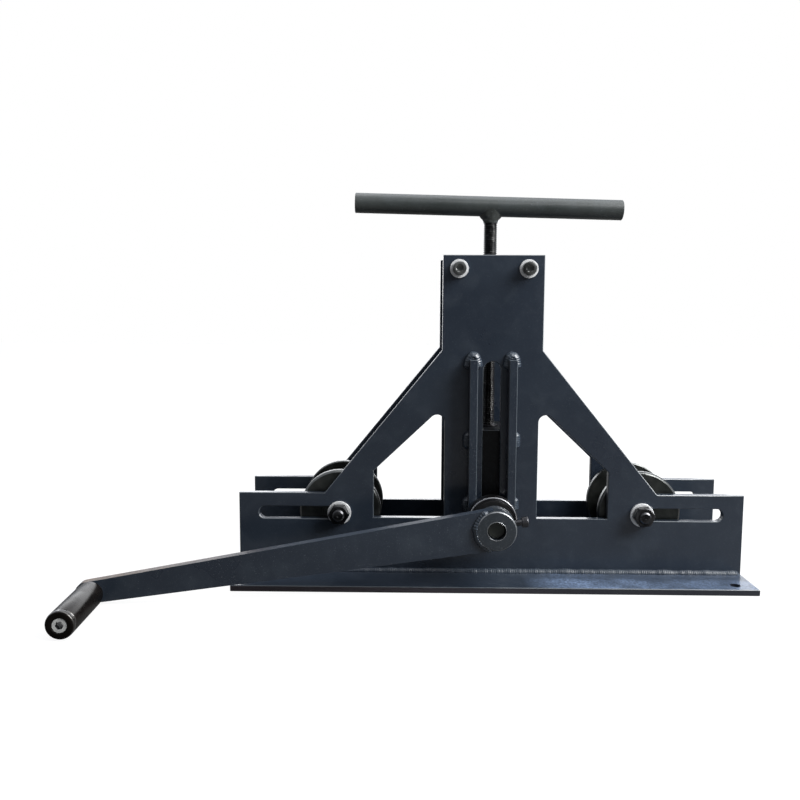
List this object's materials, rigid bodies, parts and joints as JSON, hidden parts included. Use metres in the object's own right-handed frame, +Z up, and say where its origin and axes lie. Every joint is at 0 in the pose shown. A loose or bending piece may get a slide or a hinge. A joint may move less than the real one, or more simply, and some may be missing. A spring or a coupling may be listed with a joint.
{
  "type": "ring roller",
  "caption": "Hand-cranked three-roller bending machine: slotted side plates on a base, two sliding plain rollers and a cranked drive roller pressed down by a screw.",
  "frame": {"origin": "centre of the base plate's underside", "axes": "+X along the base, right as seen from the crank side; +Y away from the crank side; +Z up"},
  "size_m": [0.6314, 0.3048, 0.3839],
  "materials": {
    "frame_paint": "glossy dark blue-grey powder coat",
    "black_oxide": "black oxide, lightly oiled",
    "zinc_plate": "bright zinc plate",
    "ground_steel": "ground bright steel",
    "roller_steel": "turned steel, darkened, bright at the rims",
    "bronze": "sintered bronze",
    "seal_rubber": "matte black",
    "grip_plastic": "smooth glossy black"
  },
  "bodies": {
    "frame": {"base_plate": "frame_paint", "front_side_plate": "frame_paint", "rear_side_plate": "frame_paint", "base_welds": "frame_paint", "front_left_guide_bar": "frame_paint", "front_right_guide_bar": "frame_paint", "rear_left_guide_bar": "frame_paint", "rear_right_guide_bar": "frame_paint", "guide_bar_welds": "frame_paint", "nut_block": "frame_paint", "nut_block_screws": "black_oxide", "nut_block_washers": "zinc_plate"},
    "yoke": {"yoke_head": "frame_paint", "yoke_front_cheek": "frame_paint", "yoke_rear_cheek": "frame_paint", "yoke_screws": "black_oxide", "shaft_bushes": "bronze", "front_bearing_outer_ring": "ground_steel", "rear_bearing_outer_ring": "ground_steel", "bearing_balls": "ground_steel", "bearing_seals": "seal_rubber"},
    "press_screw": {"press_screw": "black_oxide", "cross_bar": "frame_paint", "cross_bar_weld": "frame_paint", "thrust_washer": "zinc_plate", "screw_end_collar": "black_oxide"},
    "drive": {"drive_shaft": "ground_steel", "drive_roller_core": "roller_steel", "drive_roller_front_flange": "roller_steel", "drive_roller_rear_flange": "roller_steel", "drive_spacer": "black_oxide", "roller_key": "ground_steel", "front_bearing_inner_ring": "ground_steel", "rear_bearing_inner_ring": "ground_steel", "shaft_circlips": "black_oxide", "hub_spacer": "black_oxide", "crank_hub": "frame_paint", "crank_arm": "frame_paint", "crank_weld": "frame_paint", "crank_set_screw": "black_oxide", "grip_bolt": "zinc_plate", "grip_washer_ring": "zinc_plate"},
    "grip": {"grip_sleeve": "grip_plastic"},
    "left_carriage": {"left_axle_bolt": "black_oxide", "left_axle_nut": "black_oxide", "left_axle_washers": "zinc_plate", "left_axle_spacers": "black_oxide"},
    "left_roller": {"left_roller_core": "roller_steel", "left_roller_front_flange": "roller_steel", "left_roller_rear_flange": "roller_steel", "left_roller_bushes": "bronze"},
    "right_carriage": {"right_axle_bolt": "black_oxide", "right_axle_nut": "black_oxide", "right_axle_washers": "zinc_plate", "right_axle_spacers": "black_oxide"},
    "right_roller": {"right_roller_core": "roller_steel", "right_roller_front_flange": "roller_steel", "right_roller_rear_flange": "roller_steel", "right_roller_bushes": "bronze"}
  },
  "joints": [
    {"name": "press_slide", "type": "slide", "parent": "frame", "child": "yoke", "axis": [0, 0, 1], "range_m": [0, 0.142]},
    {"name": "screw_turn", "type": "hinge", "parent": "yoke", "child": "press_screw", "pos_m": [0, 0, 0.2], "axis": [0, 0, 1], "range_deg": [0, 25559.9]},
    {"name": "drive_turn", "type": "hinge", "parent": "yoke", "child": "drive", "pos_m": [0, 0, 0.0655], "axis": [0, 1, 0], "continuous": true},
    {"name": "grip_turn", "type": "hinge", "parent": "drive", "child": "grip", "pos_m": [-0.36582, -0.13185, 0.0121], "axis": [0.069, -0.9976, 0.0101], "continuous": true},
    {"name": "left_axle_slide", "type": "slide", "parent": "frame", "child": "left_carriage", "axis": [-1, 0, 0], "range_m": [0, 0.074]},
    {"name": "left_roller_turn", "type": "hinge", "parent": "left_carriage", "child": "left_roller", "pos_m": [-0.15, 0, 0.0655], "axis": [0, 1, 0], "continuous": true},
    {"name": "right_axle_slide", "type": "slide", "parent": "frame", "child": "right_carriage", "axis": [1, 0, 0], "range_m": [0, 0.074]},
    {"name": "right_roller_turn", "type": "hinge", "parent": "right_carriage", "child": "right_roller", "pos_m": [0.15, 0, 0.0655], "axis": [0, 1, 0], "continuous": true}
  ],
  "couplings": [
    {"joint": "press_slide", "follows": "screw_turn", "m_per_rad": 0.00031831}
  ]
}
